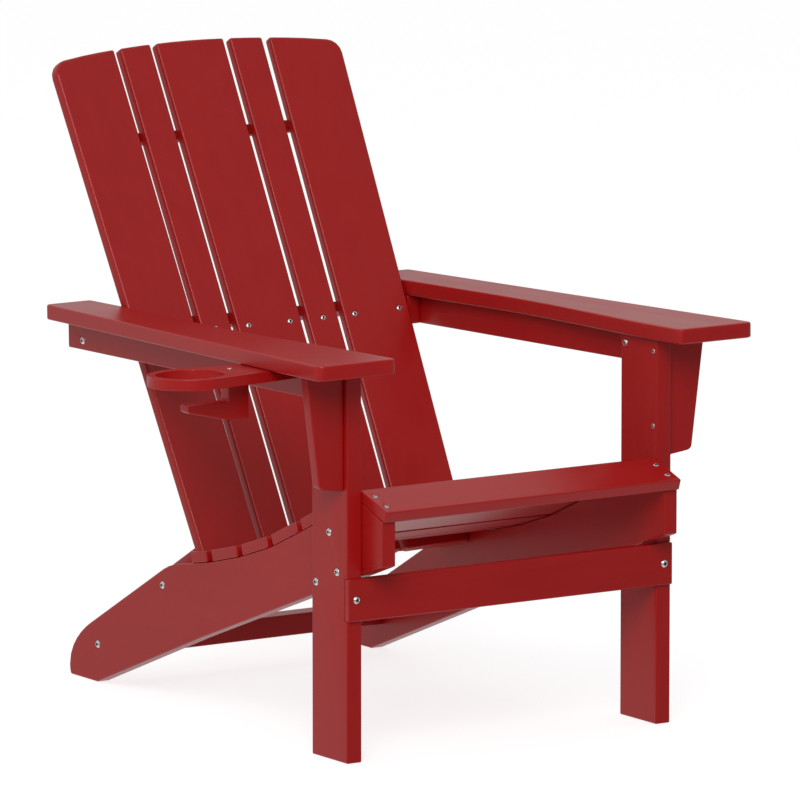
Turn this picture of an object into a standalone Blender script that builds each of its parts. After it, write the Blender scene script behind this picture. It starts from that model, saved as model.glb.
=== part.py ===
# Adirondack chair of plastic planks, with a cup holder under one arm.
# Metres. X runs to the right as seen from the front, Y to the rear, Z up, the floor at Z = 0.
# Left and right in the names are as seen from the front too, so the cup holder is on the left.
# The front faces of the legs lie in the plane Y = 0 of the chair's own frame, and its middle is X = 0.
import math

import bmesh
import bpy
from mathutils import Matrix, Vector

# ---- overall sizes
SEAT_FRAME_WIDTH = 0.5500  # over the outer faces of the two legs
ARM_HEIGHT = 0.5798  # top of the arms, above the leg fronts
ARM_SLOPE = 0.0269  # fall per metre, to the rear
ARM_REACH_FRONT = 0.0721  # arm end, ahead of the leg fronts
ARM_REACH_REAR = 0.7440
ARM_OVERHANG = 0.0930  # outer front corner of an arm, past the leg
BACK_FOOT_Y = 0.5590  # one point of the back's front face, in the middle
BACK_FOOT_Z = 0.3866
BACK_RECLINE = 28.99  # degrees from upright
BACK_TOP = 0.6027  # along the back from that point to its crown
BACK_BOTTOM = -0.2150

# ---- fits
GAP = 0.0003  # between faces that touch
HOLE_CLEARANCE = 0.0004  # around a shank
RECESS_CLEARANCE = 0.0006  # around a head
BACK_CLEARANCE = 0.0006  # between the slats of the back and the boards behind them
EDGE = 0.0020  # rounding of plank edges

# ---- legs and apron
LEG_THICKNESS = 0.0246
LEG_DEPTH = 0.0910
APRON_BOTTOM = 0.2022
APRON_TOP = 0.2631
APRON_PROUD = 0.0051  # ahead of the leg fronts
APRON_LET_IN = 0.0063  # into the leg fronts

# ---- stringers: seat rails that run down to the floor as rear legs
STRINGER_THICKNESS = 0.0225
STRINGER_FRONT = -0.0518
STRINGER_UNDERSIDE_FRONT = 0.2850  # height of the lower edge at the front end
STRINGER_BELLY = (0.4273, 0.1100)  # where the lower edge bends a little
STRINGER_FOOT_FRONT = 0.7125
STRINGER_HEEL = 0.7890
STRINGER_TAIL_Y = 0.7300  # lower end of the straight edge behind the back
STRINGER_TAIL_Z = 0.0855
STRINGER_TAIL_SLOPE = 0.5450
STRINGER_SHOULDER_Y = 0.5273  # its upper end

# ---- seat: height of the top at each gap between slats, from the back to the crest
SEAT_LINE = (
    (0.4590, 0.2314),
    (0.4040, 0.2413),
    (0.3243, 0.2610),
    (0.2447, 0.2866),
    (0.1679, 0.3199),
    (0.0869, 0.3570),
    (0.0101, 0.3868),
)
SEAT_GAP = 0.0132
SEAT_SLAT_THICKNESS = 0.0168
SEAT_CREST = (0.0031, 0.3868)  # rear top edge of the front slat
SEAT_LIP = (-0.0620, 0.3643)  # its front top edge

# ---- back
BACK_HOLLOW = 0.2400  # forward rise of the face, per square metre off the middle
BACK_CROWN = 0.3850  # drop of the top edge, likewise
BACK_SLAT_THICKNESS = 0.0175
BACK_SLAT_EDGE = 0.0036
BACK_OVER_STRINGER = 0.0041  # outer edge of the back at the reference height, past the stringers
BACK_SPREAD = 0.0282  # per metre up the back
BACK_CORNER = 0.0240
BATTEN_BOTTOM = 0.4545
BATTEN_TOP = 0.4690
BATTEN_DEPTH = 0.0148
BATTEN_HALF_LENGTH = 0.2150
LOWER_BOARD_MIDDLE = -0.1838
LOWER_BOARD_THICKNESS = 0.0184
LOWER_BOARD_REACH = 0.0800

# ---- arms, rails, brackets and the board between the rails
ARM_THICKNESS = 0.0220
ARM_SPLAY = 3.68  # degrees, of the outer edge
ARM_CORNER = 0.0120
ARM_EDGE = 0.0025
ARM_INSET = 0.0365  # its straight inner edge, from the outer face of the leg
ARM_WAIST = 0.0135
RAIL_THICKNESS = 0.0209
RAIL_HEIGHT = 0.0432
RAIL_REAR = 0.7390
RAIL_SPLAY = 1.40
BRACKET_FRONT = 0.0076
BRACKET_THICKNESS = 0.0175
BRACKET_BOTTOM_Z = 0.3870
BRACKET_RISE = 0.0050  # of its lower edge, away from the leg
BRACKET_CORNER = 0.0085
BRACKET_TOP_WIDTH = 0.0612
BRACKET_LOW_WIDTH = 0.0417
CROSS_BOARD_HEIGHT = 0.0155
CROSS_BOARD_RISE = 0.00364  # of its top edge past the level of the undersides of the arms
CROSS_BOARD_DEPTH = 0.0230
BACK_SCREW_DROP = 0.0128  # below the cross board
BLOCK_CLEARANCE = 0.0033  # beside the outer slats of the back
BLOCK_FRONT = 0.6325
BLOCK_REAR = 0.7385

# ---- rail between the rear feet
FOOT_RAIL_FRONT = 0.6810
FOOT_RAIL_REAR = 0.7140
FOOT_RAIL_BOTTOM = 0.0407
FOOT_RAIL_TOP = 0.0725

# ---- cup holder
CUP_REACH = 0.1854  # middle of the ring, out from the leg, as the three hook sizes are
CUP_Y = 0.1156
CUP_HOLE_RADIUS = 0.0492
CUP_RING_RADIUS = 0.0604
CUP_PLATE_THICKNESS = 0.0155
CUP_NECK_HALF = 0.0330
HOOK_FRONT = 0.1048
HOOK_THICKNESS = 0.0215
HOOK_POST_OUTER = 0.1282
HOOK_POST_INNER = 0.0942
HOOK_TIP = 0.1950
HOOK_SHELF = 0.5120
HOOK_BOTTOM = 0.4862

# ---- bolts and screws
BOLT_HEAD_RADIUS = 0.0059
BOLT_HEAD_HEIGHT = 0.0030
BOLT_SHANK_RADIUS = 0.0029
BOLT_RECESS = 0.0014
SCREW_HEAD_RADIUS = 0.0048
SCREW_HEAD_HEIGHT = 0.0024
SCREW_SHANK_RADIUS = 0.0021
SCREW_RECESS = 0.0020
TURNS = 10

PLASTIC_COLOUR = (0.42, 0.022, 0.022, 1.0)
STEEL_COLOUR = (0.60, 0.60, 0.60, 1.0)

# ---- what follows from them
leg_outer = SEAT_FRAME_WIDTH / 2
leg_inner = leg_outer - LEG_THICKNESS
stringer_outer = leg_inner - GAP
stringer_inner = stringer_outer - STRINGER_THICKNESS
slat_end = leg_inner - GAP
arm_spread = leg_outer + ARM_OVERHANG
arm_inner = leg_outer - ARM_INSET
cup_x = -leg_outer - CUP_REACH
recline = math.radians(BACK_RECLINE)
arm_tilt = math.atan(ARM_SLOPE)
back_edges = (  # inner and outer edge at the reference height, and spread per metre up
    (-0.0542, -0.0067, 0.0542, 0.0067),
    (0.0648, 0.0067, 0.1159, 0.0118),
    (0.1248, 0.0160, stringer_inner + BACK_OVER_STRINGER, BACK_SPREAD),
)

# the frame's origin: the middle of the box the chair fills, on the floor
cup_outermost = cup_x - CUP_RING_RADIUS
corner_half = math.radians(90 - ARM_SPLAY) / 2
arm_outermost = arm_spread + ARM_CORNER * (1 - 1 / math.tan(corner_half))
arm_foremost = -ARM_REACH_FRONT * math.cos(arm_tilt) - (ARM_THICKNESS - ARM_EDGE) * math.sin(arm_tilt)
middle_slat_rear = BACK_SLAT_THICKNESS - BACK_HOLLOW * back_edges[0][2] ** 2
back_rearmost = (
    BACK_FOOT_Y
    + (BACK_TOP - EDGE) * math.sin(recline)
    + middle_slat_rear * math.cos(recline)
)
ORIGIN = Vector(
    ((cup_outermost + arm_outermost) / 2, (back_rearmost + arm_foremost) / 2, 0.0)
)

SIDE_PLANE = Matrix(((0, 0, 1, 0), (1, 0, 0, 0), (0, 1, 0, 0), (0, 0, 0, 1)))
FRONT_PLANE = Matrix.Rotation(math.pi / 2, 4, "X")
BACK_FRAME = Matrix.Translation((0, BACK_FOOT_Y, BACK_FOOT_Z)) @ Matrix.Rotation(
    math.pi / 2 - recline, 4, "X"
)
# for a board that stands square to the back: X across, Y out of its face to the front, Z down it
ACROSS_BACK = BACK_FRAME @ Matrix.Rotation(math.pi / 2, 4, "X")


def arm_underside(y):
    return ARM_HEIGHT - ARM_THICKNESS - ARM_SLOPE * y


def rail_inner(y):
    return leg_outer + GAP - (y - LEG_DEPTH) * math.tan(math.radians(RAIL_SPLAY))


# how far up the back the cross board comes, and how near the arm blocks come to the slats there
cross_board_top = (arm_underside(BACK_FOOT_Y) - BACK_FOOT_Z + CROSS_BOARD_RISE) / (
    math.cos(recline) + ARM_SLOPE * math.sin(recline)
)
block_inner = back_edges[2][2] + BACK_SPREAD * cross_board_top + BLOCK_CLEARANCE
back_screw_height = cross_board_top - CROSS_BOARD_HEIGHT - BACK_SCREW_DROP


def clear_scene():
    for item in list(bpy.data.objects):
        bpy.data.objects.remove(item, do_unlink=True)


def new_collection(name):
    made = bpy.data.collections.new(name)
    bpy.context.scene.collection.children.link(made)
    return made


def new_material(name, colour, roughness, metallic):
    made = bpy.data.materials.new(name)
    made.use_nodes = True
    shader = made.node_tree.nodes["Principled BSDF"]
    shader.inputs["Base Color"].default_value = colour
    shader.inputs["Roughness"].default_value = roughness
    shader.inputs["Metallic"].default_value = metallic
    return made


clear_scene()
chair = new_collection("adirondack_chair")
cutters = new_collection("cutters")
cutters.hide_render = True
root = bpy.data.objects.new("chair_frame", None)
chair.objects.link(root)
root.location = -ORIGIN
plastic = new_material("plank_plastic", PLASTIC_COLOUR, 0.32, 0.0)
steel = new_material("bolt_steel", STEEL_COLOUR, 0.28, 1.0)


def place(name, mesh, where, cutter=False, material=plastic):
    """One object of this mesh, set in the chair's own frame."""
    item = bpy.data.objects.new(name, mesh)
    item.parent = root
    item.matrix_basis = where
    if cutter:
        cutters.objects.link(item)
        item.hide_render = True
        item.display_type = "WIRE"
    else:
        chair.objects.link(item)
        mesh.materials.clear()
        mesh.materials.append(material)
    return item


def rounded(corners):
    """The outline through these corners (x, y, radius), each turned into an arc."""
    points = []
    for i, (x, y, radius) in enumerate(corners):
        if not radius:
            points.append((x, y))
            continue
        corner = Vector((x, y))
        before = (Vector(corners[i - 1][:2]) - corner).normalized()
        after = (Vector(corners[(i + 1) % len(corners)][:2]) - corner).normalized()
        half = before.angle(after) / 2
        centre = corner + (before + after).normalized() * radius / math.sin(half)
        start = corner + before * radius / math.tan(half) - centre
        end = corner + after * radius / math.tan(half) - centre
        turn = start.angle_signed(end)
        steps = max(2, math.ceil(abs(turn) / math.radians(22.5)))
        for k in range(steps + 1):
            spot = centre + Matrix.Rotation(-turn * k / steps, 2) @ start
            points.append((spot.x, spot.y))
    return points


def bend(p0, p1, p2, p3, steps):
    """Points of the smooth curve from p0 to p3 that leaves towards p1 and arrives from p2."""
    points = []
    for k in range(steps + 1):
        t = k / steps
        u = 1 - t
        w = (u * u * u, 3 * u * u * t, 3 * u * t * t, t * t * t)
        points.append(
            (
                sum(a * p[0] for a, p in zip(w, (p0, p1, p2, p3))),
                sum(a * p[1] for a, p in zip(w, (p0, p1, p2, p3))),
            )
        )
    return points


def plank_mesh(name, outlines, thickness):
    """Mesh of a plank with this outline (and any openings after it), half its thickness each way."""
    curve = bpy.data.curves.new(name, "CURVE")
    curve.dimensions = "2D"
    curve.fill_mode = "BOTH"
    curve.extrude = thickness / 2
    for outline in outlines:
        line = curve.splines.new("POLY")
        line.points.add(len(outline) - 1)
        for point, (x, y) in zip(line.points, outline):
            point.co = (x, y, 0, 1)
        line.use_cyclic_u = True
    helper = bpy.data.objects.new(name, curve)
    mesh = bpy.data.meshes.new_from_object(helper)
    mesh.name = name
    bpy.data.objects.remove(helper)
    bpy.data.curves.remove(curve)
    bm = bmesh.new()
    bm.from_mesh(mesh)
    bmesh.ops.remove_doubles(bm, verts=bm.verts, dist=1e-6)
    bmesh.ops.recalc_face_normals(bm, faces=bm.faces)
    if len(outlines) == 1:
        bmesh.ops.dissolve_limit(bm, angle_limit=0.001, verts=bm.verts, edges=bm.edges)
    bm.to_mesh(mesh)
    bm.free()
    return mesh


def plank(name, outline, thickness, where, edge=EDGE, openings=()):
    item = place(name, plank_mesh(name, [outline, *openings], thickness), where)
    bevel = item.modifiers.new("rounded_edges", "BEVEL")
    bevel.width = edge
    bevel.segments = 2
    bevel.limit_method = "ANGLE"
    bevel.angle_limit = math.radians(40)
    return item


def cut(item, cutter):
    step = item.modifiers.new("cut", "BOOLEAN")
    step.operation = "DIFFERENCE"
    step.solver = "EXACT"
    step.object = cutter


def box(x0, x1, y0, y1):
    return [(x0, y0), (x1, y0), (x1, y1), (x0, y1)]


def turned_mesh(name, profile):
    """Solid of revolution about Z from its (radius, height) profile, which starts and ends on the axis."""
    mesh = bpy.data.meshes.new(name)
    mesh.from_pydata(
        [(r, 0, z) for r, z in profile], [(i, i + 1) for i in range(len(profile) - 1)], []
    )
    helper = bpy.data.objects.new(name, mesh)
    cutters.objects.link(helper)
    screw = helper.modifiers.new("turn", "SCREW")
    screw.steps = screw.render_steps = TURNS
    screw.use_merge_vertices = True
    screw.merge_threshold = 0.00001
    turned = baked(helper, name)
    bpy.data.objects.remove(helper)
    bpy.data.meshes.remove(mesh)
    bm = bmesh.new()
    bm.from_mesh(turned)
    bmesh.ops.remove_doubles(bm, verts=bm.verts, dist=1e-6)
    bmesh.ops.recalc_face_normals(bm, faces=bm.faces)
    bm.to_mesh(turned)
    bm.free()
    return turned


def baked(helper, name):
    """The mesh of this object with its modifiers in it."""
    bpy.context.view_layer.update()
    graph = bpy.context.evaluated_depsgraph_get()
    mesh = bpy.data.meshes.new_from_object(helper.evaluated_get(graph))
    mesh.name = name
    return mesh


def fastener_mesh(name, head, height, recess, shank, length):
    """A button head with a hex socket on a plain shank; Z = 0 is the face it is driven into."""
    top = height - recess
    low = GAP - recess
    body = turned_mesh(
        name,
        (
            (0, top),
            (head * 0.62, top),
            (head, top - height * 0.62),
            (head, low),
            (shank, low),
            (shank, -length),
            (0, -length),
        ),
    )
    hexagon = [
        (head * 0.42 * math.cos(math.radians(60 * k)), head * 0.42 * math.sin(math.radians(60 * k)))
        for k in range(6)
    ]
    socket_depth = height * 0.66
    socket = plank_mesh(name + "_socket", [hexagon], socket_depth * 2)
    helper = bpy.data.objects.new(name, body)
    socket_helper = bpy.data.objects.new(name + "_socket", socket)
    socket_helper.location.z = top
    cutters.objects.link(helper)
    cutters.objects.link(socket_helper)
    cut(helper, socket_helper)
    made = baked(helper, name)
    bpy.data.objects.remove(helper)
    bpy.data.objects.remove(socket_helper)
    bpy.data.meshes.remove(body)
    bpy.data.meshes.remove(socket)
    return made


def fastener(name, where, length, joined, screw=False):
    """A bolt or screw with its head on the face where Z = 0 of this place, and its hole in each board."""
    if screw:
        head, height, shank, recess = (
            SCREW_HEAD_RADIUS,
            SCREW_HEAD_HEIGHT,
            SCREW_SHANK_RADIUS,
            SCREW_RECESS,
        )
    else:
        head, height, shank, recess = (
            BOLT_HEAD_RADIUS,
            BOLT_HEAD_HEIGHT,
            BOLT_SHANK_RADIUS,
            BOLT_RECESS,
        )
    place(name, fastener_mesh(name, head, height, recess, shank, length), where, material=steel)
    hole = turned_mesh(
        name + "_hole",
        (
            (0, 0.005),
            (head + RECESS_CLEARANCE, 0.005),
            (head + RECESS_CLEARANCE, -recess),
            (shank + HOLE_CLEARANCE, -recess),
            (shank + HOLE_CLEARANCE, -length - HOLE_CLEARANCE),
            (0, -length - HOLE_CLEARANCE),
        ),
    )
    cutter = place(name + "_hole", hole, where, cutter=True)
    for board in joined:
        cut(board, cutter)


def facing(x, y, z, normal):
    """The place on a face whose outward normal is this."""
    turn = Vector(normal).to_track_quat("Z", "Y").to_matrix().to_4x4()
    return Matrix.Translation((x, y, z)) @ turn


# ---- seat line: the flat that each slat lies on
def along(start, end):
    step = Vector(end) - Vector(start)
    return step.normalized(), Vector((step.y, -step.x)).normalized()


def slat_profile(k):
    """Top rear and top front edge of a seat slat, in (Y, Z)."""
    if k == 6:
        return Vector(SEAT_CREST), Vector(SEAT_LIP)
    rear, front = SEAT_LINE[k], SEAT_LINE[k + 1]
    way, _ = along(rear, front)
    return Vector(rear) + way * SEAT_GAP / 2, Vector(front) - way * SEAT_GAP / 2


def seat_facets():
    """Corners of the stringer's top edge under the slats, from the rear to the front."""
    lines = []
    for k in range(7):
        rear, front = slat_profile(k)
        way, out = along(rear, front)
        up = out if out.y > 0 else -out
        lines.append((rear - up * (SEAT_SLAT_THICKNESS + GAP), way))
    rear_point, _ = lines[0]
    corners = [(rear_point.x, rear_point.y)]
    for (p, d), (q, e) in zip(lines, lines[1:]):
        cross = d.x * e.y - d.y * e.x
        gap = q - p
        t = (gap.x * e.y - gap.y * e.x) / cross
        corners.append(tuple(p + d * t))
    point, way = lines[-1]
    t = (STRINGER_FRONT - point.x) / way.x
    corners.append(tuple(point + way * t))
    return corners


# ---- legs
def leg_outline():
    top_front = arm_underside(0) - GAP
    top_rear = arm_underside(LEG_DEPTH) - GAP
    return [(0, 0), (LEG_DEPTH, 0), (LEG_DEPTH, top_rear), (0, top_front)]


SIDES = (("left", -1), ("right", 1))
apron_seat = place(
    "apron_seat",
    plank_mesh(
        "apron_seat",
        [box(-0.29, 0.29, APRON_BOTTOM - GAP, APRON_TOP + GAP)],
        APRON_PROUD + APRON_LET_IN + 2 * GAP,
    ),
    Matrix.Translation((0, (APRON_LET_IN - APRON_PROUD) / 2, 0)) @ FRONT_PLANE,
    cutter=True,
)
legs = {}
for side, sign in SIDES:
    middle = sign * (leg_outer - LEG_THICKNESS / 2)
    legs[side] = plank(
        "leg_" + side,
        leg_outline(),
        LEG_THICKNESS,
        Matrix.Translation((middle, 0, 0)) @ SIDE_PLANE,
    )
    cut(legs[side], apron_seat)

apron = plank(
    "front_apron",
    box(-leg_outer, leg_outer, APRON_BOTTOM, APRON_TOP),
    APRON_PROUD + APRON_LET_IN,
    Matrix.Translation((0, (APRON_LET_IN - APRON_PROUD) / 2, 0)) @ FRONT_PLANE,
)


# ---- stringers
def stringer_outline():
    facets = seat_facets()
    tail = Vector((STRINGER_TAIL_Y, STRINGER_TAIL_Z))
    down = Vector((1, -STRINGER_TAIL_SLOPE)).normalized()
    rise = (STRINGER_TAIL_Y - STRINGER_SHOULDER_Y) * STRINGER_TAIL_SLOPE
    shoulder = Vector((STRINGER_SHOULDER_Y, STRINGER_TAIL_Z + rise))
    rear_facet = Vector(facets[0])
    level, _ = along(facets[1], facets[0])
    heel_high = (STRINGER_HEEL, 0.0150)
    points = [
        (STRINGER_FRONT, STRINGER_UNDERSIDE_FRONT),
        STRINGER_BELLY,
        (STRINGER_FOOT_FRONT, 0.0),
    ]
    points += bend(
        (STRINGER_HEEL - 0.0035, 0.0),
        (STRINGER_HEEL - 0.0008, 0.0040),
        (STRINGER_HEEL, 0.0090),
        heel_high,
        3,
    )
    points += bend(
        heel_high, (STRINGER_HEEL, 0.0470), tuple(tail + down * 0.028), tuple(tail), 6
    )[1:]
    points += bend(
        tuple(shoulder),
        tuple(shoulder - down * 0.024),
        tuple(rear_facet + level * 0.024),
        tuple(rear_facet),
        5,
    )
    points += facets[1:]
    return points


stringers = {}
for side, sign in SIDES:
    middle = sign * (stringer_outer - STRINGER_THICKNESS / 2)
    stringers[side] = plank(
        "stringer_" + side,
        stringer_outline(),
        STRINGER_THICKNESS,
        Matrix.Translation((middle, 0, 0)) @ SIDE_PLANE,
    )
    cut(stringers[side], apron_seat)

foot_rail = plank(
    "foot_cross_rail",
    box(-stringer_inner + GAP, stringer_inner - GAP, FOOT_RAIL_BOTTOM, FOOT_RAIL_TOP),
    FOOT_RAIL_REAR - FOOT_RAIL_FRONT,
    Matrix.Translation((0, (FOOT_RAIL_FRONT + FOOT_RAIL_REAR) / 2, 0)) @ FRONT_PLANE,
)

# ---- seat slats
seat_slats = []
for k in range(7):
    rear, front = slat_profile(k)
    way, out = along(front, rear)
    up = -out if out.y < 0 else out
    width = (rear - front).length
    tilt = math.atan2(way.y, way.x)
    middle = (rear + front) / 2 - up * SEAT_SLAT_THICKNESS / 2
    seat_slats.append(
        plank(
            f"seat_slat_{k + 1}",
            box(-slat_end, slat_end, -width / 2, width / 2),
            SEAT_SLAT_THICKNESS,
            Matrix.Translation((0, middle.x, middle.y)) @ Matrix.Rotation(tilt, 4, "X"),
        )
    )


# ---- back slats, each a flat tapered plank turned to follow the hollow of the back
def crown(x):
    return BACK_TOP - BACK_CROWN * x * x


def back_slat_outline(inner, inner_spread, outer, outer_spread, middle, outer_corner):
    def edge_at(a, spread, s):
        return a + spread * s

    top_inner = edge_at(inner, inner_spread, crown(inner))
    top_outer = edge_at(outer, outer_spread, crown(outer))
    corners = [
        (edge_at(inner, inner_spread, BACK_BOTTOM), BACK_BOTTOM, 0),
        (edge_at(outer, outer_spread, BACK_BOTTOM), BACK_BOTTOM, 0),
        (top_outer, crown(top_outer), outer_corner),
    ]
    for k in range(1, 4):
        x = top_outer + (top_inner - top_outer) * k / 4
        if outer_corner and k == 1:
            continue
        corners.append((x, crown(x), 0))
    corners.append((top_inner, crown(top_inner), 0))
    return [(x - middle, y) for x, y in rounded(corners)]


back_slats = []
slat_places = []
for k in range(5):
    inner, inner_spread, outer, outer_spread = back_edges[abs(k - 2)]
    sign = -1 if k < 2 else 1
    middle = (inner + outer) / 2
    outline = back_slat_outline(
        inner, inner_spread, outer, outer_spread, middle, BACK_CORNER if k in (0, 4) else 0
    )
    if sign < 0:
        outline = [(-x, y) for x, y in reversed(outline)]
    depth = BACK_HOLLOW * (inner * inner + outer * outer) / 2
    turn = math.atan(2 * BACK_HOLLOW * middle)
    where = (
        BACK_FRAME
        @ Matrix.Translation((sign * middle, 0, depth))
        @ Matrix.Rotation(-sign * turn, 4, "Y")
    )
    slat_places.append(where)
    back_slats.append(
        plank(
            f"back_slat_{k + 1}",
            outline,
            BACK_SLAT_THICKNESS,
            where @ Matrix.Translation((0, 0, -BACK_SLAT_THICKNESS / 2)),
            BACK_SLAT_EDGE,
        )
    )


# ---- boards behind the slats, their front edges shaped to the hollow of the back
def behind_back(x):
    return BACK_HOLLOW * x * x - BACK_SLAT_THICKNESS - BACK_CLEARANCE


slats_space_outline = [(x / 100, behind_back(x / 100)) for x in range(-30, 31, 5)]
slats_space_outline += [(0.30, 0.12), (-0.30, 0.12)]
slats_space = place(
    "slats_space", plank_mesh("slats_space", [slats_space_outline], 1.0), ACROSS_BACK, cutter=True
)


def board_behind(name, outline, thickness, where):
    item = plank(name, outline, thickness, where)
    cut(item, slats_space)
    return item


batten = board_behind(
    "upper_back_batten",
    box(
        -BATTEN_HALF_LENGTH,
        BATTEN_HALF_LENGTH,
        -BACK_SLAT_THICKNESS - BATTEN_DEPTH,
        0.010,
    ),
    BATTEN_TOP - BATTEN_BOTTOM,
    ACROSS_BACK @ Matrix.Translation((0, 0, -(BATTEN_TOP + BATTEN_BOTTOM) / 2)),
)
lower_board = board_behind(
    "lower_back_board",
    box(-stringer_inner + GAP, stringer_inner - GAP, -LOWER_BOARD_REACH, 0.010),
    LOWER_BOARD_THICKNESS,
    ACROSS_BACK @ Matrix.Translation((0, 0, -LOWER_BOARD_MIDDLE)),
)

# ---- everything that slopes with the arms: X across, Y to the rear, Z square to the arm
ARM_FRAME = Matrix.Translation((0, 0, ARM_HEIGHT)) @ Matrix.Rotation(-arm_tilt, 4, "X")
blocks = {}
for side, sign in SIDES:
    inner = block_inner
    outline = [
        (sign * inner, BLOCK_FRONT),
        (sign * (rail_inner(BLOCK_FRONT) - GAP), BLOCK_FRONT),
        (sign * (rail_inner(BLOCK_REAR) - GAP), BLOCK_REAR),
        (sign * inner, BLOCK_REAR),
    ]
    blocks[side] = plank(
        "arm_block_" + side,
        outline if sign > 0 else outline[::-1],
        RAIL_HEIGHT - GAP,
        ARM_FRAME @ Matrix.Translation((0, 0, -ARM_THICKNESS - (RAIL_HEIGHT + GAP) / 2)),
    )
cross_board = board_behind(
    "arm_cross_board",
    box(GAP - block_inner, block_inner - GAP, -BACK_SLAT_THICKNESS - CROSS_BOARD_DEPTH, 0.010),
    CROSS_BOARD_HEIGHT,
    ACROSS_BACK @ Matrix.Translation((0, 0, CROSS_BOARD_HEIGHT / 2 - cross_board_top)),
)


# ---- arms, their rails and brackets
def arm_outline():
    outer_rear = arm_spread - (ARM_REACH_REAR + ARM_REACH_FRONT) * math.tan(math.radians(ARM_SPLAY))
    corners = [
        (arm_inner, -ARM_REACH_FRONT, 0.010),
        (arm_spread, -ARM_REACH_FRONT, ARM_CORNER),
        (outer_rear, ARM_REACH_REAR, 0.008),
        (arm_inner, ARM_REACH_REAR, 0.004),
    ]
    length = ARM_REACH_REAR + ARM_REACH_FRONT
    for k in range(1, 14):
        y = ARM_REACH_REAR - 0.04 - (length - 0.08) * k / 14
        waist = ARM_WAIST * (1 - math.cos(2 * math.pi * k / 14)) / 2
        corners.append((arm_inner + waist, y, 0))
    return rounded(corners)


arms = {}
rails = {}
brackets = {}
for side, sign in SIDES:
    outline = arm_outline()
    if sign < 0:
        outline = [(-x, y) for x, y in reversed(outline)]
    arms[side] = plank(
        "arm_" + side,
        outline,
        ARM_THICKNESS,
        ARM_FRAME @ Matrix.Translation((0, 0, -ARM_THICKNESS / 2)),
        edge=ARM_EDGE,
    )
    rail_front = BRACKET_FRONT + BRACKET_THICKNESS + 3 * GAP + (ARM_THICKNESS + RAIL_HEIGHT) * ARM_SLOPE
    turn = math.radians(RAIL_SPLAY)
    rails[side] = plank(
        "arm_rail_" + side,
        box(
            rail_front - LEG_DEPTH,
            RAIL_REAR - LEG_DEPTH,
            -RAIL_HEIGHT,
            -GAP,
        ),
        RAIL_THICKNESS,
        ARM_FRAME
        @ Matrix.Translation((sign * (leg_outer + GAP), LEG_DEPTH, -ARM_THICKNESS))
        @ Matrix.Rotation(sign * turn, 4, "Z")
        @ Matrix.Translation((sign * RAIL_THICKNESS / 2, 0, 0))
        @ SIDE_PLANE,
    )
    top = arm_underside(BRACKET_FRONT + BRACKET_THICKNESS) - 2 * GAP
    outline = rounded(
        [
            (leg_outer + GAP, BRACKET_BOTTOM_Z, 0),
            (leg_outer + BRACKET_LOW_WIDTH - 0.0008, BRACKET_BOTTOM_Z + BRACKET_RISE, BRACKET_CORNER),
            (leg_outer + BRACKET_TOP_WIDTH + 0.0008, top, 0),
            (leg_outer + GAP, top, 0),
        ]
    )
    if sign < 0:
        outline = [(-x, y) for x, y in reversed(outline)]
    brackets[side] = plank(
        "arm_bracket_" + side,
        outline,
        BRACKET_THICKNESS,
        Matrix.Translation((0, BRACKET_FRONT + BRACKET_THICKNESS / 2, 0)) @ FRONT_PLANE,
    )


# ---- cup holder: a plate with a ring under the arm, and a bottle rest under the plate
def cup_plate_outline():
    lean = math.radians(10)
    steps = 20
    points = []
    for k in range(steps + 1):
        angle = math.pi / 2 - lean + (math.pi + 2 * lean) * k / steps
        points.append(
            (cup_x + CUP_RING_RADIUS * math.cos(angle), CUP_Y + CUP_RING_RADIUS * math.sin(angle))
        )
    inboard = -(rail_inner(CUP_Y - CUP_NECK_HALF) + RAIL_THICKNESS + 3 * GAP)
    points += [(inboard, CUP_Y - CUP_NECK_HALF), (inboard, CUP_Y + CUP_NECK_HALF)]
    return points


hole_outline = [
    (
        cup_x + CUP_HOLE_RADIUS * math.cos(math.radians(15 * k)),
        CUP_Y + CUP_HOLE_RADIUS * math.sin(math.radians(15 * k)),
    )
    for k in range(24)
]
cup_plate = plank(
    "cup_holder_plate",
    cup_plate_outline(),
    CUP_PLATE_THICKNESS,
    ARM_FRAME @ Matrix.Translation((0, 0, -ARM_THICKNESS - GAP - CUP_PLATE_THICKNESS / 2)),
    openings=[hole_outline],
)
hook_top = arm_underside(HOOK_FRONT + HOOK_THICKNESS) - CUP_PLATE_THICKNESS - 3 * GAP
cup_hook = plank(
    "cup_holder_hook",
    rounded(
        [
            (-leg_outer - HOOK_POST_INNER, hook_top, 0),
            (-leg_outer - HOOK_POST_OUTER, hook_top, 0),
            (-leg_outer - HOOK_POST_OUTER, HOOK_SHELF, 0.006),
            (-leg_outer - HOOK_TIP, HOOK_SHELF, 0.003),
            (-leg_outer - HOOK_TIP, HOOK_SHELF - 0.011, 0.004),
            (-leg_outer - HOOK_POST_OUTER - 0.006, HOOK_BOTTOM, 0.030),
            (-leg_outer - HOOK_POST_INNER, HOOK_BOTTOM, 0),
        ]
    ),
    HOOK_THICKNESS,
    Matrix.Translation((0, HOOK_FRONT + HOOK_THICKNESS / 2, 0)) @ FRONT_PLANE,
)

# ---- bolts and screws
BACK_SCREW_LENGTH = 0.0140  # blind in the slat
BACK_SCREWS = (  # slat, place across
    (1, -0.2203),
    (1, -0.1455),
    (2, -0.0926),
    (3, -0.0357),
    (3, 0.0357),
    (4, 0.0926),
    (5, 0.1455),
    (5, 0.2203),
)
LEG_BOLTS = ((0.0472, 0.3235), (0.0267, 0.2694), (0.0809, 0.2477))

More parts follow.
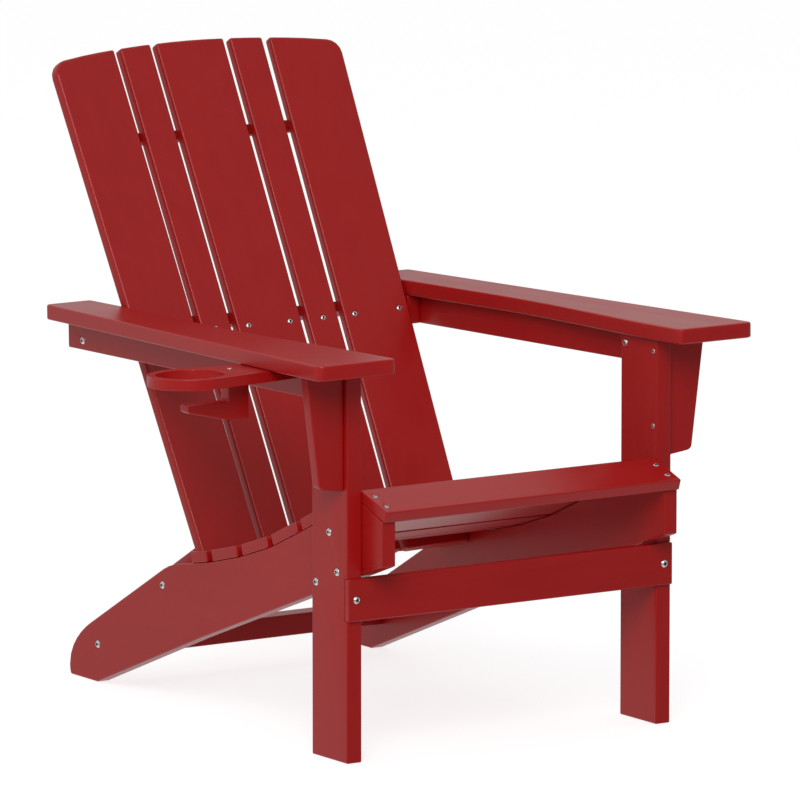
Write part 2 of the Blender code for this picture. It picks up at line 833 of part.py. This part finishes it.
for side, sign in SIDES:
    leg, stringer, rail = legs[side], stringers[side], rails[side]
    for k, (y, z) in enumerate(LEG_BOLTS):
        fastener(
            f"leg_bolt_{side}_{k + 1}",
            facing(sign * leg_outer, y, z, (sign, 0, 0)),
            LEG_THICKNESS + 0.014,
            (leg, stringer),
        )
    fastener(
        "foot_bolt_" + side,
        facing(sign * stringer_outer, 0.7095, 0.0562, (sign, 0, 0)),
        STRINGER_THICKNESS + 0.030,
        (stringer, foot_rail),
    )
    fastener(
        "stringer_bolt_" + side,
        facing(sign * stringer_outer, 0.5300, 0.1715, (sign, 0, 0)),
        STRINGER_THICKNESS - 0.003,
        (stringer,),
    )
    rail_y = 0.6956
    outside = Matrix.Rotation(sign * math.radians(RAIL_SPLAY), 3, "Z") @ Vector((sign, 0, 0))
    rail_face = Vector((sign * rail_inner(rail_y), rail_y, 0.5098)) + outside * RAIL_THICKNESS
    fastener(
        "rail_bolt_" + side,
        facing(*rail_face, outside),
        RAIL_THICKNESS + 0.016,
        (rail, blocks[side]),
    )
    fastener(
        "arm_bolt_" + side,
        facing(sign * leg_inner, 0.0815, 0.5420, (-sign, 0, 0)),
        LEG_THICKNESS + 0.013,
        (leg, rail),
    )
    fastener(
        "apron_bolt_" + side,
        facing(sign * 0.2615, -APRON_PROUD, 0.2330, (0, -1, 0)),
        APRON_PROUD + APRON_LET_IN + 0.030,
        (apron, leg),
    )
    for k, y in enumerate((-0.0157, -0.0447)):
        rear, front = slat_profile(6)
        way, _ = along(front, rear)
        z = front.y + (y - front.x) * way.y / way.x
        fastener(
            f"seat_screw_{side}_{k + 1}",
            facing(sign * 0.2380, y, z, (0, -way.y, way.x)),
            SEAT_SLAT_THICKNESS + 0.018,
            (seat_slats[6], stringer),
            screw=True,
        )

for k, (slat, x) in enumerate(BACK_SCREWS):
    inner, _, outer, _ = back_edges[abs(slat - 3)]
    middle = math.copysign((inner + outer) / 2, slat - 3)
    fastener(
        f"back_screw_{k + 1}",
        slat_places[slat - 1] @ Matrix.Translation((x - middle, back_screw_height, 0)),
        BACK_SCREW_LENGTH,
        (back_slats[slat - 1],),
        screw=True,
    )
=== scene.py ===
# Looks of the plastic adirondack chair: semi-gloss red planks, bright steel fasteners and the studio.
import math

import bpy
from mathutils import Matrix, Vector


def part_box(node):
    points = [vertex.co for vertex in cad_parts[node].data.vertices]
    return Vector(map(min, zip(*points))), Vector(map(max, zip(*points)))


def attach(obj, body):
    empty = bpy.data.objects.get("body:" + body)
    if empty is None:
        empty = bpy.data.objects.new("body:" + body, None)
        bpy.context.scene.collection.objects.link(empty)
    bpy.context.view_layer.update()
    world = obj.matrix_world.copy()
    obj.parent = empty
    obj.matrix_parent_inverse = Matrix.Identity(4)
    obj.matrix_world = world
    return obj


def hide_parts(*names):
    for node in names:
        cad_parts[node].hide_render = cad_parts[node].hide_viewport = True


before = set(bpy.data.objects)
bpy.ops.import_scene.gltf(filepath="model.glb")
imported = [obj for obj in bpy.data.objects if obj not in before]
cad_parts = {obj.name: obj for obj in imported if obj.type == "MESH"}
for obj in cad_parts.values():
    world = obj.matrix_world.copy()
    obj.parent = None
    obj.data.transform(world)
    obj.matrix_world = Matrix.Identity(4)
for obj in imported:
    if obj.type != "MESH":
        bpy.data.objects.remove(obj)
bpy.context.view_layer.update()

# ---- finishes
PLANK_RED = (0.450, 0.0080, 0.0078, 1.0)
PLANK_RED_DEEP = (0.432, 0.0070, 0.0072, 1.0)
PLANK_RED_PALE = (0.466, 0.0092, 0.0088, 1.0)
STEEL_BRIGHT = (0.95, 0.94, 0.93, 1.0)
STEEL_DULL = (0.78, 0.77, 0.75, 1.0)
# painted shade: near-black steel colours for the inside of the sunk bolt sockets, standing in for the
# shade in the hollow
SOCKET_PAINTED_SHADE_DEEP = (0.030, 0.027, 0.026, 1.0)
SOCKET_PAINTED_SHADE_PALE = (0.070, 0.065, 0.062, 1.0)
PLASTIC_IOR = 1.49
PLANK_GLOSS = (0.29, 0.36)  # roughness, from the glossiest streaks to the dullest
STREAKS_ALONG = 2.2
STREAKS_ACROSS = 26.0
SHINE_SPAN = 0.12  # how much smoother the steel is where it is smudged least

# ---- shapes
EDGE_SMOOTHING = math.radians(50)
SAME_POINT = 0.00001
SHANK_END = 0.008  # length of shank, from its tip, that tells which way a bolt lies
SOCKET_REACH = 0.55  # share of a head's radius that its socket takes
SOCKET_SUNK = 0.0002  # faces this far below the top of the head are inside the socket
SMALL_SCREW_SIDES = 24
SMALL_SCREW_RADIUS = 0.0038
SMALL_SCREW_HEIGHT = 0.0012
SMALL_SCREW_RIM = 0.0006
SMALL_SCREW_LET_IN = 0.0002
SMALL_SCREW_SOCKET = 0.0017
SMALL_SCREW_SOCKET_DEPTH = 0.0008
BRACKET_SCREW_DEPTH = 0.0094  # behind the front face of a leg
BRACKET_SCREW_HEIGHTS = (0.5389, 0.4310)
CUP_SCREW_PLACE = (-0.3090, -0.2666)
PLATE_FALL = 0.0269  # of the cup holder's plate to the rear, with the arm above it

# ---- studio
LIGHT_ALL_ROUND = 0.46
LIGHT_FROM_BEHIND = 0.26
LIGHT_FROM_ABOVE = 0.18
LIGHT_FROM_FLOOR = 0.50
FLOOR_LIGHT_STARTS = -0.22  # how far a direction points down, where the floor starts to light
FLOOR_LIGHT_FULL = -0.62
BACKGROUND_WHITE = 1.05
KEY_PLACE = (-2.9, -3.9, 3.5)
KEY_POWER = 146.0
KEY_SIZE = 3.0
CHAIR_MIDDLE = (0.08, -0.05, 0.35)
FLOOR_OWN_LIGHT = 0.80
FLOOR_PAINT = 0.40
FLOOR_SIDE = 160.0
FLOOR_DROP = 0.0005  # under the feet
LENS = 440.06
SENSOR = 36.0
FARTHEST_SEEN = 400.0
CAMERA_PLACE = (-7.4952, -11.6771, 2.7190)
CAMERA_TURN = (80.693, 0.0, -33.212)  # degrees


def new_material(name):
    """A material with its shader, and functions that add a node and link two sockets."""
    material = bpy.data.materials.new(name)
    material.use_nodes = True
    tree = material.node_tree

    def add(kind, values=(), **settings):
        node = tree.nodes.new(kind)
        for key, value in settings.items():
            setattr(node, key, value)
        for key, value in dict(values).items():
            node.inputs[key].default_value = value
        return node

    return material, tree.nodes["Principled BSDF"], add, tree.links.new


def stops(ramp, *pairs):
    """Sets the colour stops of a ramp, as (place, colour)."""
    elements = ramp.color_ramp.elements
    while len(elements) < len(pairs):
        elements.new(0.5)
    for element, (place, colour) in zip(elements, pairs):
        element.position = place
        element.color = colour


def grey(value):
    return (value, value, value, 1.0)


def moulded_plank(name, along):
    """Through-coloured plastic lumber: flow streaks along the plank, faint mottling, a fine skin."""
    material, shader, add, link = new_material(name)
    place = add("ShaderNodeTexCoord").outputs["Object"]
    scales = [STREAKS_ALONG if k == along else STREAKS_ACROSS for k in range(3)]
    stretch = add("ShaderNodeMapping", {"Scale": scales})
    streaks = add(
        "ShaderNodeTexNoise", {"Scale": 1.6, "Detail": 6.0, "Roughness": 0.55, "Distortion": 0.4}
    )
    mottle = add("ShaderNodeTexNoise", {"Scale": 9.0, "Detail": 3.0, "Roughness": 0.5})
    mixed = add("ShaderNodeMix", {"Factor": 0.35})
    link(place, stretch.inputs["Vector"])
    link(stretch.outputs["Vector"], streaks.inputs["Vector"])
    link(place, mottle.inputs["Vector"])
    link(streaks.outputs["Fac"], mixed.inputs["A"])
    link(mottle.outputs["Fac"], mixed.inputs["B"])

    tint = add("ShaderNodeValToRGB")
    stops(tint, (0.34, PLANK_RED_DEEP), (0.50, PLANK_RED), (0.68, PLANK_RED_PALE))
    link(mixed.outputs["Result"], tint.inputs["Fac"])
    link(tint.outputs["Color"], shader.inputs["Base Color"])
    sheen = add("ShaderNodeValToRGB")
    stops(sheen, (0.30, grey(PLANK_GLOSS[0])), (0.70, grey(PLANK_GLOSS[1])))
    link(mixed.outputs["Result"], sheen.inputs["Fac"])
    link(sheen.outputs["Color"], shader.inputs["Roughness"])

    grain = add("ShaderNodeTexNoise", {"Scale": 420.0, "Detail": 2.0, "Roughness": 0.6})
    skin = add("ShaderNodeBump", {"Strength": 0.08, "Distance": 0.0004})
    wave = add("ShaderNodeBump", {"Strength": 0.08, "Distance": 0.0010})
    link(place, grain.inputs["Vector"])
    link(grain.outputs["Fac"], skin.inputs["Height"])
    link(streaks.outputs["Fac"], wave.inputs["Height"])
    link(skin.outputs["Normal"], wave.inputs["Normal"])
    link(wave.outputs["Normal"], shader.inputs["Normal"])
    shader.inputs["IOR"].default_value = PLASTIC_IOR
    return material


def fastener_steel(name, dull, bright, roughest):
    """Steel with fine turning marks and a little smudging; given the near-black socket colours it
    makes the painted shade inside the sunk sockets.
    """
    material, shader, add, link = new_material(name)
    place = add("ShaderNodeTexCoord").outputs["Object"]
    smudge = add("ShaderNodeTexNoise", {"Scale": 180.0, "Detail": 4.0, "Roughness": 0.6})
    tint = add("ShaderNodeValToRGB")
    stops(tint, (0.30, dull), (0.60, bright))
    gloss = add("ShaderNodeValToRGB")
    stops(gloss, (0.30, grey(roughest - SHINE_SPAN)), (0.70, grey(roughest)))
    marks = add("ShaderNodeTexNoise", {"Scale": 2600.0, "Detail": 2.0})
    bump = add("ShaderNodeBump", {"Strength": 0.10, "Distance": 0.0001})
    link(place, smudge.inputs["Vector"])
    link(smudge.outputs["Fac"], tint.inputs["Fac"])
    link(tint.outputs["Color"], shader.inputs["Base Color"])
    link(smudge.outputs["Fac"], gloss.inputs["Fac"])
    link(gloss.outputs["Color"], shader.inputs["Roughness"])
    link(place, marks.inputs["Vector"])
    link(marks.outputs["Fac"], bump.inputs["Height"])
    link(bump.outputs["Normal"], shader.inputs["Normal"])
    shader.inputs["Metallic"].default_value = 1.0
    return material


PLANK_FINISH = [moulded_plank("plank_red_along_" + "xyz"[axis], axis) for axis in range(3)]
STEEL = fastener_steel("bolt_steel_bright", STEEL_DULL, STEEL_BRIGHT, 0.32)
# painted shade: near-black steel for the faces inside the bolt sockets
SOCKET_PAINTED_SHADE = fastener_steel("bolt_socket_painted_shade", SOCKET_PAINTED_SHADE_DEEP, SOCKET_PAINTED_SHADE_PALE, 0.55)


# ---- pieces
def merged_copy(node, name):
    """A copy of a CAD node with its loose triangles joined, selected and alone."""
    bpy.ops.object.select_all(action="DESELECT")
    piece = node.copy()
    piece.data = node.data.copy()
    piece.name = name
    piece.parent = None
    for key in list(piece.keys()):
        del piece[key]
    bpy.context.scene.collection.objects.link(piece)
    piece.select_set(True)
    bpy.context.view_layer.objects.active = piece
    bpy.ops.object.mode_set(mode="EDIT")
    bpy.ops.mesh.select_all(action="SELECT")
    bpy.ops.mesh.remove_doubles(threshold=SAME_POINT)
    bpy.ops.object.mode_set(mode="OBJECT")
    piece.data.materials.clear()
    return piece


def even_shading(piece):
    """Smooth over the rounded edges, with the wide faces kept flat."""
    bpy.ops.object.shade_smooth_by_angle(angle=EDGE_SMOOTHING)
    bpy.ops.object.modifier_add(type="WEIGHTED_NORMAL")
    piece.modifiers[-1].keep_sharp = True
    bpy.ops.object.modifier_apply(modifier=piece.modifiers[-1].name)


def finished_plank(name, node):
    low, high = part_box(name)
    sides = list(high - low)
    piece = merged_copy(node, name + "_plank")
    piece.data.materials.append(PLANK_FINISH[sides.index(max(sides))])
    even_shading(piece)
    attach(piece, "root")
    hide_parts(name)


def head_axis(mesh):
    """Middle of the outer end of a bolt or screw, the way it faces, and the radius of its head."""
    points = [v.co.copy() for v in mesh.vertices]
    middle = sum(points, Vector()) / len(points)
    # the point farthest from the middle is on the end of the shank, since most points are in the head
    tip = max(points, key=lambda p: (p - middle).length)
    shank_end = [p for p in points if (p - tip).length < SHANK_END]
    shank_middle = sum(shank_end, Vector()) / len(shank_end)
    way = (middle - shank_middle).normalized()
    reach = max((p - shank_middle).dot(way) for p in points)
    top = shank_middle + way * reach
    radius = max(((p - top) - way * (p - top).dot(way)).length for p in points)
    return top, way, radius


def finished_fastener(name, node):
    piece = merged_copy(node, name + "_steel")
    mesh = piece.data
    mesh.materials.append(STEEL)
    mesh.materials.append(SOCKET_PAINTED_SHADE)
    top, way, radius = head_axis(mesh)
    # faces sunk inside the socket get the painted shade material, darkening the hollow of the head
    for face in mesh.polygons:
        off = face.center - top
        depth = -off.dot(way)
        out = (off + way * depth).length
        if out < radius * SOCKET_REACH and SOCKET_SUNK < depth < radius:
            face.material_index = 1
    even_shading(piece)
    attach(piece, "root")
    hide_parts(name)


def small_screw_head():
    """A low screw head with a rounded rim and a round sunk socket, at the origin and facing up."""
    bpy.ops.object.select_all(action="DESELECT")
    bpy.ops.mesh.primitive_cylinder_add(
        vertices=SMALL_SCREW_SIDES,
        radius=SMALL_SCREW_RADIUS,
        depth=SMALL_SCREW_HEIGHT,
        location=(0, 0, SMALL_SCREW_HEIGHT / 2 - SMALL_SCREW_LET_IN),
    )
    piece = bpy.context.object
    bpy.ops.object.transform_apply(location=True, rotation=True, scale=True)
    bpy.ops.object.mode_set(mode="EDIT")
    bpy.ops.mesh.select_mode(type="FACE")
    bpy.ops.mesh.select_all(action="DESELECT")
    bpy.ops.object.mode_set(mode="OBJECT")
    mesh = piece.data
    for face in mesh.polygons:
        face.select = face.normal.z > 0.9
    bpy.ops.object.mode_set(mode="EDIT")
    bpy.ops.mesh.bevel(offset=SMALL_SCREW_RIM, segments=3, affect="EDGES")
    bpy.ops.mesh.select_all(action="DESELECT")
    bpy.ops.object.mode_set(mode="OBJECT")
    top = max(face.center.z for face in mesh.polygons)
    for face in mesh.polygons:
        face.select = face.center.z > top - SAME_POINT
    bpy.ops.object.mode_set(mode="EDIT")
    bpy.ops.mesh.inset(thickness=SMALL_SCREW_RADIUS - SMALL_SCREW_RIM - SMALL_SCREW_SOCKET)
    down = (0, 0, -SMALL_SCREW_SOCKET_DEPTH)
    bpy.ops.mesh.extrude_region_move(TRANSFORM_OT_translate={"value": down})
    bpy.ops.object.mode_set(mode="OBJECT")
    mesh.materials.append(STEEL)
    mesh.materials.append(SOCKET_PAINTED_SHADE)
    # the sunk socket faces get the painted shade material, darkening the hollow
    for face in mesh.polygons:
        face.material_index = 1 if face.select else 0
    even_shading(piece)
    return piece


def set_screw(head, name, at, facing):
    """One copy of the small screw head, standing on a face."""
    piece = head.copy()
    piece.data = head.data.copy()
    piece.name = name
    bpy.context.scene.collection.objects.link(piece)
    turn = Vector(facing).normalized().to_track_quat("Z", "Y").to_matrix().to_4x4()
    piece.data.transform(Matrix.Translation(Vector(at)) @ turn)
    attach(piece, "root")


for name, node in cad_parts.items():
    if "bolt" in name or "screw" in name:
        finished_fastener(name, node)
    else:
        finished_plank(name, node)

screw_head = small_screw_head()
for side, inward in (("left", 1), ("right", -1)):
    low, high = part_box("leg_" + side)
    inner_face = high.x if inward > 0 else low.x
    for k, height in enumerate(BRACKET_SCREW_HEIGHTS):
        at = (inner_face, low.y + BRACKET_SCREW_DEPTH, height)
        set_screw(screw_head, f"bracket_screw_{side}_{k + 1}", at, (inward, 0, 0))

plate_low, plate_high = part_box("cup_holder_plate")
plate_top = plate_high.z - PLATE_FALL * (CUP_SCREW_PLACE[1] - plate_low.y)
set_screw(screw_head, "cup_plate_screw", (*CUP_SCREW_PLACE, plate_top), (0, PLATE_FALL, 1))
bpy.data.objects.remove(screw_head)

# ---- studio light
world = bpy.data.worlds.new("studio")
bpy.context.scene.world = world
world.use_nodes = True
studio = world.node_tree
studio.nodes.clear()
way_out = studio.nodes.new("ShaderNodeTexCoord")
split = studio.nodes.new("ShaderNodeSeparateXYZ")
behind = studio.nodes.new("ShaderNodeMath")
behind.operation = "MULTIPLY_ADD"
behind.inputs[1].default_value = LIGHT_FROM_BEHIND
behind.inputs[2].default_value = LIGHT_ALL_ROUND
above = studio.nodes.new("ShaderNodeMath")
above.operation = "MULTIPLY_ADD"
above.inputs[1].default_value = LIGHT_FROM_ABOVE
bounce = studio.nodes.new("ShaderNodeMapRange")
bounce.interpolation_type = "SMOOTHSTEP"
bounce.inputs["From Min"].default_value = FLOOR_LIGHT_STARTS
bounce.inputs["From Max"].default_value = FLOOR_LIGHT_FULL
bounce.inputs["To Min"].default_value = 0.0
bounce.inputs["To Max"].default_value = LIGHT_FROM_FLOOR
total = studio.nodes.new("ShaderNodeMath")
total.operation = "ADD"
seen = studio.nodes.new("ShaderNodeLightPath")
pick = studio.nodes.new("ShaderNodeMix")
pick.inputs["B"].default_value = BACKGROUND_WHITE
glow = studio.nodes.new("ShaderNodeBackground")
world_out = studio.nodes.new("ShaderNodeOutputWorld")
for start, end in (
    (way_out.outputs["Generated"], split.inputs["Vector"]),
    (split.outputs["Y"], behind.inputs[0]),
    (split.outputs["Z"], above.inputs[0]),
    (behind.outputs[0], above.inputs[2]),
    (split.outputs["Z"], bounce.inputs["Value"]),
    (above.outputs[0], total.inputs[0]),
    (bounce.outputs["Result"], total.inputs[1]),
    (seen.outputs["Is Camera Ray"], pick.inputs["Factor"]),
    (total.outputs[0], pick.inputs["A"]),
    (pick.outputs["Result"], glow.inputs["Strength"]),
    (glow.outputs["Background"], world_out.inputs["Surface"]),
):
    studio.links.new(start, end)

key_lamp = bpy.data.lights.new("key_light", "AREA")
key_lamp.shape = "DISK"
key_lamp.size = KEY_SIZE
key_lamp.energy = KEY_POWER
key_light = bpy.data.objects.new("key_light", key_lamp)
key_light.location = KEY_PLACE
towards = Vector(CHAIR_MIDDLE) - Vector(KEY_PLACE)
key_light.rotation_euler = towards.to_track_quat("-Z", "Y").to_euler()
bpy.context.scene.collection.objects.link(key_light)

# ---- floor
bpy.ops.object.select_all(action="DESELECT")
bpy.ops.mesh.primitive_plane_add(size=FLOOR_SIDE, location=(0.0, 0.0, -FLOOR_DROP))
floor = bpy.context.object
floor.name = "studio_floor"
paint, floor_shader, _, _ = new_material("floor_white")
floor_shader.inputs["Base Color"].default_value = grey(FLOOR_PAINT)
floor_shader.inputs["Roughness"].default_value = 1.0
floor_shader.inputs["Specular IOR Level"].default_value = 0.0
floor_shader.inputs["Emission Color"].default_value = grey(1.0)
floor_shader.inputs["Emission Strength"].default_value = FLOOR_OWN_LIGHT
floor.data.materials.append(paint)
floor.visible_diffuse = False
floor.visible_glossy = False

# ---- camera
camera_data = bpy.data.cameras.new("camera")
camera_data.lens = LENS
camera_data.sensor_width = SENSOR
camera_data.clip_end = FARTHEST_SEEN
camera = bpy.data.objects.new("camera", camera_data)
camera.location = CAMERA_PLACE
camera.rotation_euler = [math.radians(turn) for turn in CAMERA_TURN]
bpy.context.scene.collection.objects.link(camera)
bpy.context.scene.camera = camera
bpy.context.scene.view_settings.view_transform = "Standard"
bpy.context.scene.view_settings.look = "None"
